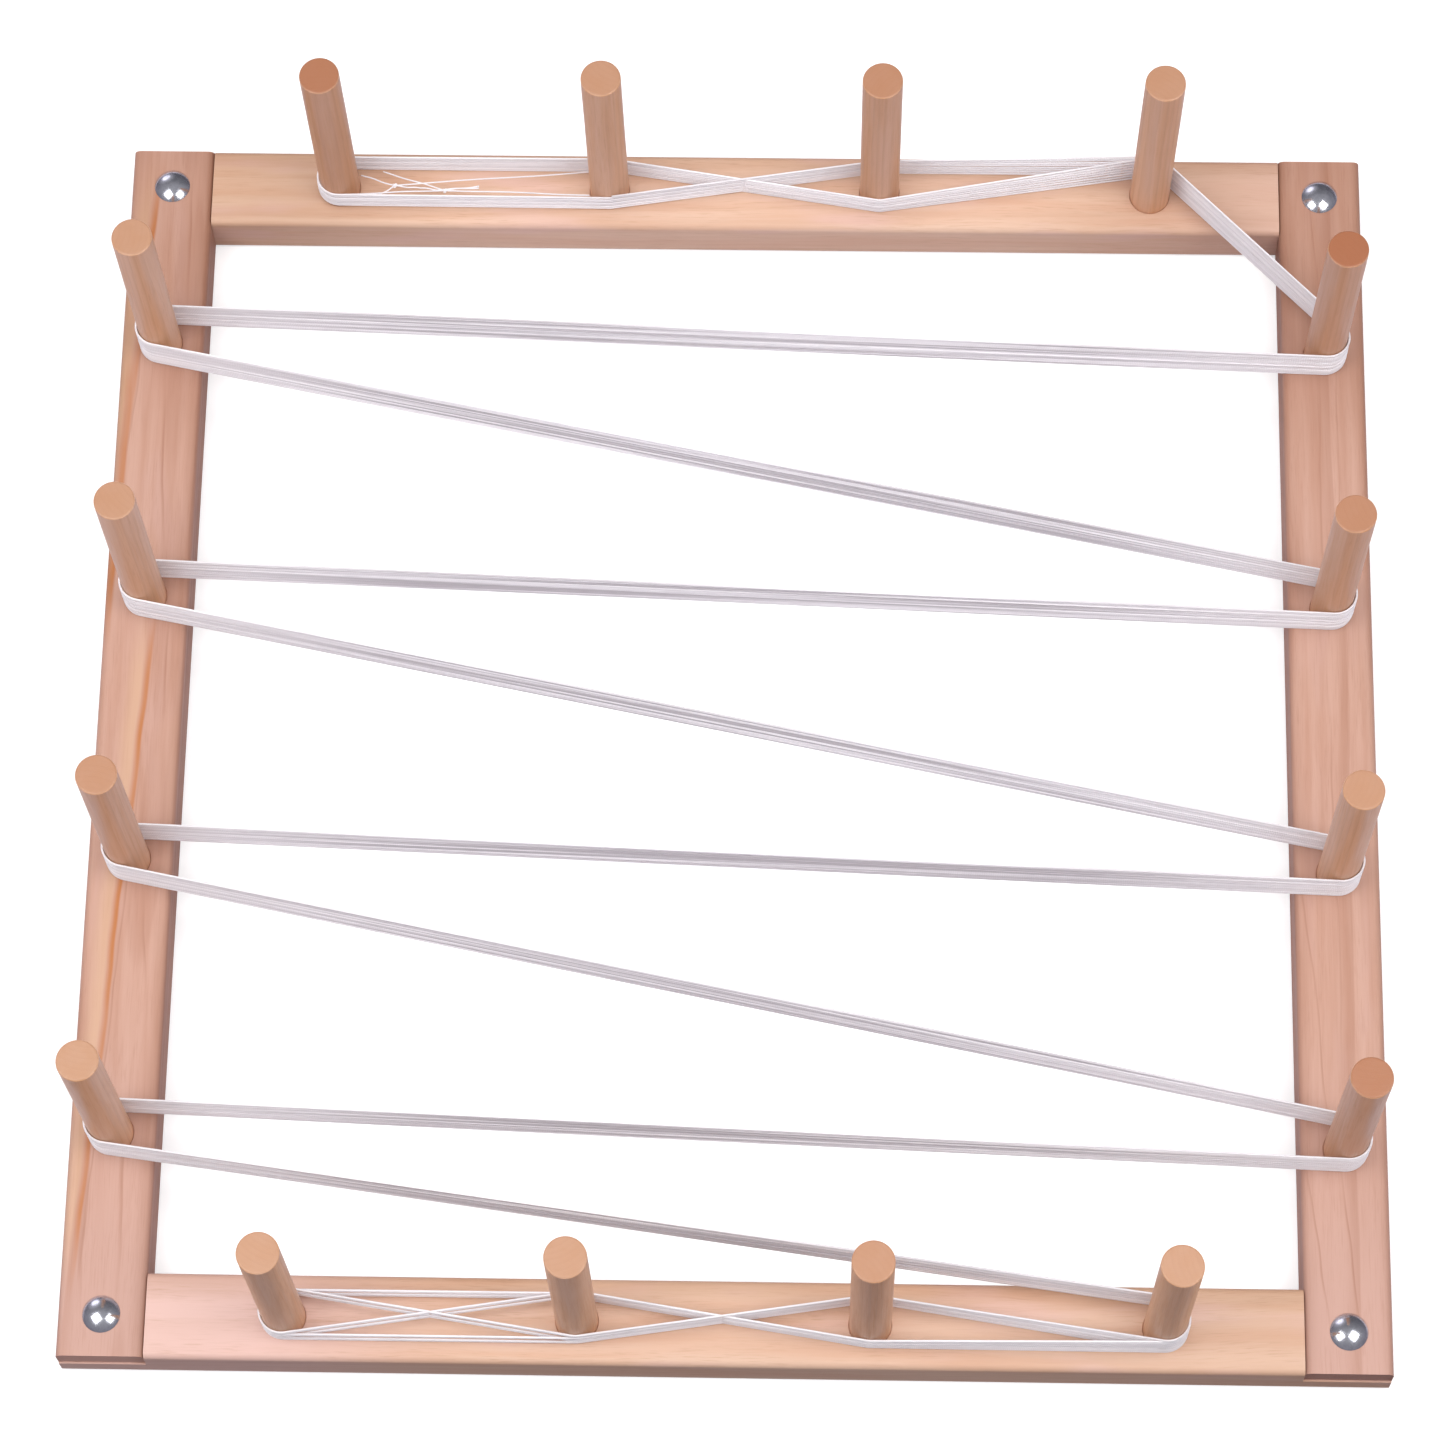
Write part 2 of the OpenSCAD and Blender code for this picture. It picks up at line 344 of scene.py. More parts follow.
def woodGrainGroup():
    # Growth rings round a pith line that runs along X, bent by slow noise, with fibres and pores.
    # Position is in millimetres with X along the grain
    group, given = newGroup("woodGrain", {
        "Position": None, "Ring Width": 6.0, "Pith Y": 60.0, "Pith Z": 40.0, "Wander": 14.0,
        "Ring Edge": 0.5, "Fibre Size": 0.7,
    })
    p = given["Position"]
    slow = noise(group, p, grainLook["wander"], 2.0, 0.45)["Color"]
    bend = onVectors(group, "SUBTRACT", slow, (0.5, 0.5, 0.5))
    moved = onVectors(group, "ADD", p, onVectors(group, "MULTIPLY", bend, given["Wander"]))
    parts = axes(group, moved)
    y = calculate(group, "SUBTRACT", parts["Y"], given["Pith Y"])
    z = calculate(group, "SUBTRACT", parts["Z"], given["Pith Z"])
    radius = calculate(group, "SQRT", calculate(
        group, "ADD", times(group, y, y), times(group, z, z)))
    age = calculate(group, "DIVIDE", radius, given["Ring Width"])
    share = calculate(group, "FRACT", age)
    # Each year's wood darkens slowly and stops short at the next year's pale wood
    late = spread(group, share, given["Ring Edge"], grainLook["lateFull"])
    stop = spread(group, share, grainLook["lateStop"], 1.0, 1.0, 0.0)
    year = addNode(group, "TexWhiteNoise", {"W": calculate(group, "FLOOR", age)},
                   noise_dimensions="1D").outputs["Value"]
    palest = grainLook["palestYear"]
    ring = times(group, late, stop, calculate(group, "MULTIPLY_ADD", year, 1 - palest, palest))
    fibre = noise(group, moved, grainLook["fibre"], 3.0, 0.6,
                  calculate(group, "DIVIDE", 1.0, given["Fibre Size"]))["Fac"]
    tone = noise(group, moved, grainLook["tone"], 3.0, 0.55)["Fac"]
    # Flecks are short dark fibres that gather in patches
    short = noise(group, moved, grainLook["fleck"])["Fac"]
    patch = noise(group, p, grainLook["patch"], 1.0)["Fac"]
    fleck = times(group, spread(group, short, *grainLook["fleckEdge"]),
                  spread(group, patch, *grainLook["patchEdge"]))
    height = calculate(group, "MULTIPLY_ADD", fibre, grainLook["fibreRise"],
                       times(group, ring, grainLook["ringRise"]))
    height = calculate(group, "MULTIPLY_ADD", fleck, grainLook["fleckRise"], height)
    return giveOut(group, {"Ring": ring, "Fibre": fibre, "Tone": tone, "Fleck": fleck,
                           "Height": height})


# A growth line bends to and fro, and leans by lean for each step up. Its ends fade out, and
# its weakest stretches keep the share weak, all in millimetres. A line over strong has a glow.
# The edges are in widths of the line from its middle
lineLook = {
    "bendRate": 0.011, "bend": 1.3, "lean": 0.7, "fade": 60.0, "weak": 0.55, "strong": 0.6,
    "glow": 0.5, "sharp": (-0.5, 0.1), "soft": (0.1, 1.7), "glowIn": (0.6, 2.0),
    "glowOut": (2.0, 6.0),
}


def growthLineGroup():
    # One growth line: a thin sheet of dark wood that crosses the face at Across + Slope * X, in
    # millimetres. It is sharp on one side and soft on the other, and fades out at From and To.
    # Glow is the band of yellow wood that runs beside it
    group, given = newGroup("growthLine", {
        "Position": None, "Across": 0.0, "Slope": 0.0, "Width": 1.0, "From": -300.0, "To": 300.0,
    })
    parts = axes(group, given["Position"])
    x, bend = parts["X"], lineLook["bend"]
    path = calculate(group, "MULTIPLY_ADD", x, given["Slope"], given["Across"])
    bends = noiseAlong(group, calculate(group, "MULTIPLY_ADD", x, lineLook["bendRate"],
                                        given["Across"]), 2.0)
    path = calculate(group, "ADD", path, spread(group, bends, 0.2, 0.8, -bend, bend))
    # The sheet leans, so that on a side face the line runs on at another height
    lean = calculate(group, "MULTIPLY_ADD", parts["Z"], lineLook["lean"], parts["Y"])
    off = calculate(group, "DIVIDE", calculate(group, "SUBTRACT", lean, path), given["Width"])
    sharp = spread(group, off, *lineLook["sharp"])
    soft = spread(group, off, *lineLook["soft"], 1.0, 0.0)
    start = calculate(group, "SUBTRACT", x, given["From"])
    end = calculate(group, "SUBTRACT", given["To"], x)
    near = spread(group, calculate(group, "MINIMUM", start, end), 0.0, lineLook["fade"])
    weak = spread(group, bends, 0.3, 0.6, lineLook["weak"], 1.0)
    return giveOut(group, {
        "Mask": times(group, sharp, soft, near, weak),
        "Glow": times(group, spread(group, off, *lineLook["glowIn"]),
                      spread(group, off, *lineLook["glowOut"], 1.0, 0.0), near),
    })


def cutEndGroup():
    # How squarely a surface cuts across the grain, from its normal and the grain's direction
    group, given = newGroup("cutEnd", {"Grain": None})
    normal = addNode(group, "TexCoord").outputs["Normal"]
    facing = onVectors(group, "DOT_PRODUCT", normal, given["Grain"])
    return giveOut(group, {
        "Mask": spread(group, calculate(group, "ABSOLUTE", facing), *grainLook["cutEdge"])})


# Rates are repeats for each millimetre along the yarn, and hairs are repeats for each metre
twistLook = {"hairs": (1600, 1600, 2600), "strandRate": 0.0021, "slubRate": 0.03, "plyRise": 0.5}


def yarnTwistGroup():
    # Plies wound round a yarn: slanting waves over its round (U) and length (V, in millimetres)
    group, given = newGroup("yarnTwist", {"Lay Length": 3.0, "Plies": 3.0, "Fuzz": 0.4})
    parts = axes(group, addNode(group, "UVMap", uv_map="route").outputs[0])
    along = calculate(group, "DIVIDE", parts["Y"], given["Lay Length"])
    turn = times(group, calculate(group, "ADD", parts["X"], along), given["Plies"])
    wave = calculate(group, "SINE", times(group, turn, 2 * math.pi))
    hairs = noise(group, ownPlace(group), twistLook["hairs"])["Fac"]
    # Strand is nearly the same all along a span, and Slub changes every few centimetres. Groove
    # marks the ply grooves, which the yarn's material darkens as painted shade
    return giveOut(group, {
        "Groove": spread(group, wave, -1.0, 0.0, 1.0, 0.0),
        "Strand": noiseAlong(group, times(group, parts["Y"], twistLook["strandRate"]), 0.0),
        "Slub": noiseAlong(group, times(group, parts["Y"], twistLook["slubRate"]), 2.0),
        "Height": calculate(group, "MULTIPLY_ADD", hairs, given["Fuzz"],
                            times(group, wave, twistLook["plyRise"])),
    })


def newMaterial(name):
    material = bpy.data.materials.new(name)
    material.use_nodes = True
    tree = material.node_tree
    return material, tree, tree.nodes["Principled BSDF"]


def bumpNormal(tree, height, strength, distance):
    return addNode(tree, "Bump", {"Height": height, "Strength": strength,
                                  "Distance": distance}).outputs["Normal"]


# Colours are linear. Pith is the middle of the tree, in millimetres across and above the piece
sideRailWood = {
    "pale": (0.54, 0.325, 0.25, 1), "warm": (0.475, 0.263, 0.19, 1),
    "ring": (0.33, 0.15, 0.092, 1), "end": (0.35, 0.168, 0.122, 1),
    "streak": (0.45, 0.17, 0.06, 1),
    # The last colour on the next line is painted shade, multiplied in over the rail's shade spans
    "yellow": (0.60, 0.375, 0.225, 1), "paintedShadeColour": (0.68, 0.58, 0.50, 1),
    "blush": (0.52, 0.315, 0.255, 1), "ringWidth": 8.0, "wander": 8.0, "ringEdge": 0.6,
    "ringShare": 0.34, "fibre": 0.9, "fleckShare": 0.2, "roughness": 0.5, "gloss": 0.3,
    "endShare": 0.8,
}
endRailWood = {
    "pale": (0.69, 0.475, 0.355, 1), "warm": (0.645, 0.405, 0.285, 1),
    "ring": (0.47, 0.27, 0.165, 1), "end": (0.38, 0.21, 0.15, 1), "endShare": 0.8,
    # The first colour on the next line is painted shade, multiplied in over the rail's shade spans
    "paintedShadeColour": (0.68, 0.58, 0.47, 1), "blush": (0.70, 0.47, 0.41, 1), "ringWidth": 4.5,
    "wander": 14.0, "ringEdge": 0.35, "ringShare": 0.2, "fibre": 0.7, "fleckShare": 0.4,
    "roughness": 0.5, "gloss": 0.3,
}
pegWood = {
    "pale": (0.79, 0.48, 0.315, 1), "warm": (0.73, 0.395, 0.21, 1),
    "ring": (0.52, 0.26, 0.14, 1), "end": (0.44, 0.235, 0.14, 1), "streak": (0.33, 0.11, 0.045, 1),
    "ringWidth": 3.2, "pith": (26.0, 14.0), "wander": 5.0, "ringEdge": 0.4, "ringShare": 0.3,
    "fibre": 0.8, "fleckShare": 0.25, "roughness": 0.36, "gloss": 0.5, "endShare": 0.85,
    "start": 0, "paintedShadeSpans": (), "redSide": 0.34, "redEnd": 0.9,
}
# Growth lines of each side rail: across and slope at the rail's middle, width, share, from, to.
# Across counts from the rail's middle line towards its left, and along from its near end
growthLines = {
    "side_rail_left": (
        (31.2, -0.074, 3.0, 1.0, 165, 363), (20.5, -0.016, 3.2, 1.0, 40, 240),
        (28.0, -0.07, 0.9, 0.5, 150, 265),
        (-2.3, -0.059, 2.5, 1.0, -335, 80), (-4.5, -0.057, 0.8, 0.45, -330, 0),
        (-13.0, 0.0, 1.3, 0.55, 250, 363), (-12.5, 0.045, 1.2, 0.55, 90, 230),
        (-14.0, 0.0, 1.2, 0.55, -20, 90), (-1.0, 0.08, 1.1, 0.5, -175, -80),
        (-8.0, -0.002, 1.5, 0.55, -350, -215), (13.0, 0.004, 1.7, 0.5, -350, -225),
    ),
    "side_rail_right": (
        (28.0, 0.093, 0.8, 0.6, -235, -60), (31.0, 0.115, 0.85, 0.6, -363, -225),
        (50.0, 0.12, 0.85, 0.6, -350, -230), (-22.0, 0.08, 0.8, 0.4, 270, 363),
        (3.0, 0.0, 0.9, 0.4, 60, 240), (1.0, 0.006, 0.8, 0.4, -200, 40),
        (-9.0, 0.01, 0.7, 0.3, -40, 300),
    ),
}


def woodMaterial(name, look, position, grain, groups, lines=(), reddened=None):
    # position(tree) gives a socket in millimetres with X along the grain
    material, tree, shader = newMaterial(name)
    place = position(tree)
    log = onVectors(tree, "ADD", place, (look["start"], 0, 0))
    figure = placeGroup(tree, groups["woodGrain"], {
        "Position": log, "Ring Width": look["ringWidth"], "Pith Y": look["pith"][0],
        "Pith Z": look["pith"][1], "Wander": look["wander"], "Ring Edge": look["ringEdge"],
        "Fibre Size": look["fibre"],
    })
    cut = placeGroup(tree, groups["cutEnd"], {"Grain": grain})["Mask"]
    tone = spread(tree, figure["Tone"], *grainLook["toneEdge"])
    colour = mixColour(tree, tone, look["pale"], look["warm"])
    along = axes(tree, place)
    if "blush" in look:
        # Pink wood lies in patches, and all along from the first number to the second
        patches = noise(tree, log, grainLook["pink"])["Fac"]
        pink = spread(tree, patches, *grainLook["pinkEdge"], 0.0, grainLook["pinkShare"])
        ends = spread(tree, along["X"], *look["pinkEnd"])
        colour = mixColour(tree, calculate(tree, "MAXIMUM", pink, ends), colour, look["blush"])
    for share in (
        times(tree, figure["Ring"], look["ringShare"]),
        spread(tree, figure["Fibre"], *grainLook["fibreEdge"], 0.0, grainLook["fibreShare"]),
        times(tree, figure["Fleck"], look["fleckShare"]),
    ):
        colour = mixColour(tree, share, colour, look["ring"])
    for across, slope, width, share, start, end in lines:
        line = placeGroup(tree, groups["growthLine"], {
            "Position": place, "Across": across, "Slope": slope, "Width": width, "From": start,
            "To": end,
        })
        isStrong = share > lineLook["strong"]
        if isStrong:
            glow = times(tree, line["Glow"], lineLook["glow"])
            colour = mixColour(tree, glow, colour, look["yellow"])
        shade = look["streak" if isStrong else "ring"]
        colour = mixColour(tree, times(tree, line["Mask"], share), colour, shade)
    colour = mixColour(tree, times(tree, cut, look["endShare"]), colour, look["end"])
    if reddened:
        # Red wood shows by redSide on the sides and by redEnd on the sawn ends
        red = addNode(tree, "Attribute", attribute_name=reddened).outputs["Fac"]
        side = look["redSide"]
        atEnd = calculate(tree, "MULTIPLY_ADD", red, look["redEnd"], -side)
        most = calculate(tree, "MULTIPLY_ADD", cut, atEnd, side)
        colour = mixColour(tree, times(tree, red, most), colour, look["streak"])
    # Painted shade: each span multiplies in the shade colour, darker towards the far ends and
    # corners, along the rounded long edges and behind the yarn
    for axis, start, full, share in look["paintedShadeSpans"]:
        depth = spread(tree, along[axis], start, full, 0.0, share)
        colour = mixColour(tree, depth, colour, look["paintedShadeColour"], "MULTIPLY")
    smooth = look["roughness"]
    feed(tree, shader, {
        "Base Color": colour,
        "Roughness": spread(tree, figure["Fibre"], 0.3, 0.75, smooth - 0.06, smooth + 0.1),
        "Normal": bumpNormal(tree, figure["Height"], 0.15, 0.0003),
        "Specular IOR Level": look["gloss"],
    })
    return material


# Where in the tree each rail was cut from, in millimetres: start is a step along the grain, and
# the wood turns pink over pinkEnd. Each rail's spans of painted shade darken it towards its far
# end and corners, along its rounded long edges and on the strip behind the yarn. Each span gives
# the axis, the place where the shade starts, the place where it is full, and its share
railFigure = {
    "side_rail_left": {
        "start": 0, "pith": (-10.0, -64.0), "pinkEnd": (-150, -360), "end": (0.6, 0.35, 0.28, 1),
        "paintedShadeSpans": (("Y", -13, -24, 0.6), ("X", 110, 320, 0.38)),
    },
    "side_rail_right": {
        "start": 700, "pith": (14.0, -52.0), "pinkEnd": (-150, -360),
        "paintedShadeSpans": (("Y", 14, 24, 0.4), ("Y", -14, -24, 0.3), ("X", 120, 320, 0.6)),
    },
    "end_rail_top": {
        "start": 900, "pith": (46.0, -120.0), "pinkEnd": (180, 420),
        "paintedShadeSpans": (("Y", 8, 20, 0.4), ("X", 120, 290, 0.45), ("X", -120, -290, 0.45)),
    },
    "end_rail_bottom": {
        "start": 3100, "pith": (-30.0, -95.0), "pinkEnd": (-130, -260),
        "paintedShadeSpans": (("Y", 6, 20, 0.55), ("Y", -14, -24, 0.15), ("X", 160, 320, 0.25)),
    },
}


def railPosition(node):
    # Object coordinates in millimetres from the rail's middle, turned so that X runs along it
    # and Y towards its left
    middle = middleOf(node) / mm
    turn = -math.pi / 2 if node.startswith("side") else 0

    def position(tree):
        scaled = addNode(tree, "Mapping", {
            "Vector": ownPlace(tree), "Scale": (1000, 1000, 1000),
            "Location": (-middle[0], -middle[1], -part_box(node)[1].z / mm),
        })
        laid = addNode(tree, "Mapping", {"Vector": scaled.outputs[0], "Rotation": (0, 0, turn)})
        return laid.outputs[0]
    return position


def pegPosition(tree):
    # The peg's own coordinates are kept on its mesh, in millimetres with X along the grain
    return addNode(tree, "Attribute", attribute_name="grainPlace").outputs["Vector"]


zincLook = {
    "bright": (0.74, 0.75, 0.80, 1), "dull": (0.62, 0.63, 0.68, 1), "cloud": (420, 420, 420),
    "smooth": 0.13, "rough": 0.24,
}


def metalMaterial():
    material, tree, shader = newMaterial("brightZinc")
    cloud = noise(tree, ownPlace(tree), zincLook["cloud"], 3.0)["Fac"]
    feed(tree, shader, {
        "Base Color": mixColour(tree, spread(tree, cloud, 0.35, 0.7), zincLook["bright"],
                                zincLook["dull"]),
        "Roughness": spread(tree, cloud, 0.3, 0.7, zincLook["smooth"], zincLook["rough"]),
        "Metallic": 1.0,
    })
    return material


# Strands hang free from the first distance to the second: aired is counted from the frame's
# middle to its sides, and overRail to its ends, in metres. The grey strands are painted shade
# between the strands with some random tone, and differ by held where they lie on a rail or peg.
# The groove colour is painted shade in the ply grooves
yarnLook = {
    "pale": (0.96, 0.93, 0.95, 1), "greyToneAndShade": (0.57, 0.53, 0.555, 1),
    "paintedGrooveShade": (0.55, 0.49, 0.54, 1), "aired": (0.30, 0.17), "overRail": (0.325, 0.30),
    "held": 0.3, "grooveShare": 0.12, "roughness": 0.88, "sheen": 0.5, "gloss": 0.2,
}


def yarnMaterial(groups):
    material, tree, shader = newMaterial("cottonYarn")
    twist = placeGroup(tree, groups["yarnTwist"], {})
    # Painted shade between the strands, mixed with random tone, is strongest where they hang free,
    # inside the rails
    parts = axes(tree, ownPlace(tree))
    free = times(tree, spread(tree, calculate(tree, "ABSOLUTE", parts["X"]), *yarnLook["aired"]),
                 spread(tree, calculate(tree, "ABSOLUTE", parts["Y"]), *yarnLook["overRail"]))
    held = yarnLook["held"]
    free = calculate(tree, "MULTIPLY_ADD", free, 1 - held, held)
    colour = yarnLook["pale"]
    # The strand grey is painted shade between the strands with some random tone, the slub grey is
    # random tone, and the groove colour is painted shade in the ply grooves
    for share, shade in (
        (times(tree, spread(tree, twist["Strand"], 0.4, 0.62), free), "greyToneAndShade"),
        (spread(tree, twist["Slub"], 0.5, 0.8, 0.0, 0.2), "greyToneAndShade"),
        (times(tree, twist["Groove"], yarnLook["grooveShare"]), "paintedGrooveShade"),
    ):
        colour = mixColour(tree, share, colour, yarnLook[shade])
    feed(tree, shader, {
        "Base Color": colour, "Normal": bumpNormal(tree, twist["Height"], 0.35, 0.0002),
        "Roughness": yarnLook["roughness"], "Sheen Weight": yarnLook["sheen"],
        "Specular IOR Level": yarnLook["gloss"],
    })
    return material


def floorMaterial():
    material, tree, shader = newMaterial("paleFloor")
    place, front, blur = ownPlace(tree), floorLook["front"], floorLook["blur"]
    cloud = noise(tree, place, floorLook["cloud"])["Fac"]
    shown = mixColour(tree, cloud, floorLook["pale"], floorLook["worn"])
    seen = addNode(tree, "LightPath").outputs["Is Camera Ray"]
    back = spread(tree, axes(tree, place)["Y"], front - blur, front + blur)
    given = mixColour(tree, back, floorLook["dull"], floorLook["givenBack"])
    feed(tree, shader, {
        "Base Color": mixColour(tree, seen, given, shown),
        "Emission Strength": times(tree, seen, floorLook["glow"]),
        "Emission Color": (1, 1, 1, 1), "Roughness": floorLook["roughness"],
    })
    return material


def makeFloor():
    half = floorLook["size"] / 2
    line = np.linspace(-half, half, 3)
    points = asPoints(*np.meshgrid(line, line, indexing="ij"), 0.0)
    floor = placeObject("floor", (points, gridQuads(3, 3), points[:, :2]))
    floor.data.materials.append(floorMaterial())


# Rails: round is the long edges' rounding, ease that of the sawn ends, in millimetres
railShape = {
    "round": 4.0, "roundSteps": 9, "ease": 0.5, "easeSteps": 4, "lapGap": 0.1,
    "rimEase": 0.45, "holeGap": 0.08, "holeDepth": 20.0,
}
boltShape = {
    "shank": 8.0, "holeGap": 0.25, "neckGap": 0.1, "neckHeight": 4.0, "recessGap": 0.75,
    "recessDepth": 8.6, "headRim": 0.35, "headEase": (0.15, 0.12), "pitch": 1.25,
    "threadDepth": 0.55, "threadLength": 20.0, "threadAround": 24, "threadRows": 6,
}
sharp = 0.02             # rounding of an edge that looks sharp, in millimetres
past = 1 * mm            # how far a cutting tool runs past the face that it cuts


def railSection(width, low, high, lowRound, highRound, inset, meet):
    # Rectangle with rounded corners, drawn in by inset on every side, as (across, height)
    # points. Both upright sides have a point at meet, where the lap's corner runs on
    half, steps = width / 2 - inset, railShape["roundSteps"]
    low, high = low + inset, high - inset
    lowRound = max(lowRound - inset, sharp)
    highRound = max(highRound - inset, sharp)
    meet = min(max(meet, low + lowRound), high - highRound)
    return np.concatenate([
        [(half, meet)],
        rounding((half - highRound, high - highRound), highRound, 0, 90, steps),
        rounding((highRound - half, high - highRound), highRound, 90, 180, steps),
        [(-half, meet)],
        rounding((lowRound - half, low + lowRound), lowRound, 180, 270, steps),
        rounding((half - lowRound, low + lowRound), lowRound, 270, 360, steps),
    ])


def railSurface(length, width, lapLow, lapHigh, thick, lapLength):
    # The section is carried along the rail. It is cut to lapLow..lapHigh over both laps, and
    # its ends are eased by drawing the section in along a quarter circle
    full, ease = railShape["round"], railShape["ease"]
    lowRound = full if lapLow == 0 else sharp
    highRound = full if lapHigh == thick else sharp
    meet = lapLow + lowRound if lapLow > 0 else lapHigh - highRound
    angle = np.linspace(0, math.pi / 2, railShape["easeSteps"] + 1)
    stations, insets = ease * (1 - np.sin(angle)), ease * (1 - np.cos(angle))
    rows = []
    for back, inset in zip(stations[::-1], insets[::-1]):
        section = railSection(width, lapLow, lapHigh, lowRound, highRound, inset, meet)
        rows.append((ease - back, section))
    rows = [(0.0, rows[0][1] * 0 + rows[0][1].mean(axis=0))] + rows
    rows.append((lapLength, rows[-1][1]))
    rows.append((lapLength, railSection(width, 0, thick, full, full, 0, meet)))
    places = np.array([r[0] for r in rows])
    places = np.concatenate([places - length / 2, length / 2 - places[::-1]])
    sections = np.stack([r[1] for r in rows] + [r[1] for r in rows[::-1]])
    points = asPoints(places[:, None], sections[..., 0], sections[..., 1])
    return points * mm, gridQuads(*sections.shape[:2], wrapColumns=True), points[:, :2]


def cutWith(piece, surface):
    tool = placeObject("tool", surface)
    cut = piece.modifiers.new("cut", "BOOLEAN")
    cut.object = tool
    cut.operation = "DIFFERENCE"
    cut.solver = "EXACT"
    applyModifiers(piece)
    bpy.data.objects.remove(tool)


def pegHoleTool(place, radius, top):
    # Blind hole with a small countersink at its mouth
    rim = railShape["rimEase"] * mm
    floor = -railShape["holeDepth"] * mm
    profile = [(0, floor), (radius, floor), (radius, -rim), (radius + rim, 0),
               (radius + 3 * rim, 2 * rim), (0, 2 * rim)]
    return turned(profile, (*place, top), 64)


def boltHoleTool(place, top, recess):
    # Through hole with a wide recess at the back
    hole = (boltShape["shank"] / 2 + boltShape["holeGap"]) * mm
    depth = boltShape["recessDepth"] * mm
    profile = [(0, -past), (recess, -past), (recess, depth), (hole, depth), (hole, top + past),
               (0, top + past)]
    return turned(profile, (*place, 0), 50)


def squarePost(place, half, low, high):
    # Turned surface of four sides, an eighth turn round, so that they face along X and Y
    reach, turn = half * math.sqrt(2), math.sqrt(0.5)
    profile = [(0, low), (reach, low), (reach, high), (0, high)]
    points, quads, maps = turned(profile, (0, 0, 0), 4)
    points = points @ np.array([[turn, turn, 0], [-turn, turn, 0], [0, 0, 1]])
    return points + np.array([*place, 0]), quads, maps


def neckTool(place, top):
    # Square pocket for the bolt's neck
    half = (boltShape["shank"] / 2 + boltShape["neckGap"]) * mm
    low = top - (boltShape["neckHeight"] + boltShape["neckGap"]) * mm
    return squarePost(place, half, low, top + past)


def middleOf(node):
    low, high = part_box(node)
    return np.array((low + high) / 2)


def corners():
    # Where the bolts stand. The last is the right corner of the far rail
    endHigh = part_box("end_rail_top")[1]
    x, y = endHigh.x - railWidth / 2, endHigh.y - railWidth / 2
    return [(i * x, j * y) for i in (-1, 1) for j in (-1, 1)]


def makeRails(groups):
    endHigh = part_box("end_rail_top")[1]
    thick = endHigh.z
    cornerX, cornerY = corners()[-1]
    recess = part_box("washers")[1].x - cornerX + boltShape["recessGap"] * mm
    gap, half = railShape["lapGap"], thick / mm / 2
    for node in railFigure:
        boxLow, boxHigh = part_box(node)
        size = np.array(boxHigh - boxLow) / mm
        middle = middleOf(node)
        isSide = node.startswith("side")
        length, width = (size[1], size[0]) if isSide else (size[0], size[1])
        lap = (length - (endHigh.y * 2 / mm - 2 * width)) / 2 if isSide else width
        low, high = (half + gap, thick / mm) if isSide else (0, half)
        points, quads, maps = railSurface(length, width, low, high, thick / mm, lap + gap)
        if isSide:
            points = points[:, [1, 0, 2]]
        points = points + np.array([middle[0], middle[1], 0])
        rail = placeObject(node + "_wood", (points, quads, maps))
        for k in range(1, 5):
            peg = "peg_%s_%d" % (node.split("_")[-1], k)
            centre = middleOf(peg)
            radius = (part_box(peg)[1].x - centre[0]) + railShape["holeGap"] * mm
            cutWith(rail, pegHoleTool(centre[:2], radius, thick))
        for side in (-1, 1):
            place = (middle[0], side * cornerY) if isSide else (side * cornerX, middle[1])
            cutWith(rail, boltHoleTool(place, thick, recess))
            if isSide:
                cutWith(rail, neckTool(place, thick))
        shadeSmooth(rail)
        look = sideRailWood if isSide else endRailWood
        grain = (0, 1, 0) if isSide else (1, 0, 0)
        wood = woodMaterial(node + "_wood", {**look, **railFigure[node]}, railPosition(node),
                            grain, groups, growthLines.get(node, ()))
        finishPiece(rail, wood, "frame", [node])
    print("rails made")


# Redness of each peg, and 0 is the plainest
pegRedness = {
    "top": (0.9, 0.4, 0.65, 0.45), "bottom": (0.0, 0.1, 0.45, 0.1), "left": (0.3, 0.35, 0.5, 0.05),
    "right": (1.0, 0.7, 0.4, 0.85),
}
# Pegs: topRound is the rounding of the free end and sway the unevenness of the side, which
# grows from swayFrom to swayFull above the foot, in millimetres
pegShape = {
    "topRound": 1.1, "footChamfer": 0.8, "sway": 0.05, "swayFrom": 30, "swayFull": 50,
    "around": 56, "along": 26,
}


def pegSurface(radius, low, high, centre, seed):
    # A profile turned about Z, whose radius also sways a little with height and angle
    top, foot = pegShape["topRound"] * mm, pegShape["footChamfer"] * mm
    shaft = np.linspace(low + foot, high - top, pegShape["along"])
    shaft = np.stack([np.full_like(shaft, radius), shaft], axis=-1)
    crown = rounding((radius - top, high - top), top, 0, 90, 6)[1:]
    face = np.stack([np.linspace(radius - top, 0, 5)[1:], np.full(4, high)], axis=-1)
    profile = np.concatenate([[(0, low), (radius - foot, low)], shaft, crown, face])
    points, quads, maps = turned(profile, (0, 0, 0), pegShape["around"])
    angle = np.arctan2(points[:, 1], points[:, 0])
    sway = np.sin(angle * 2 + seed + points[:, 2] * 40) * np.sin(points[:, 2] * 23 + seed * 3)
    start, full = pegShape["swayFrom"] * mm, pegShape["swayFull"] * mm
    inside = np.clip((points[:, 2] - low - start) / (full - start), 0, 1)
    scale = 1 - pegShape["sway"] * mm * (1 + sway) * inside / radius
    points[:, :2] = points[:, :2] * scale[:, None] + np.array(centre[:2])
    return points, quads, maps


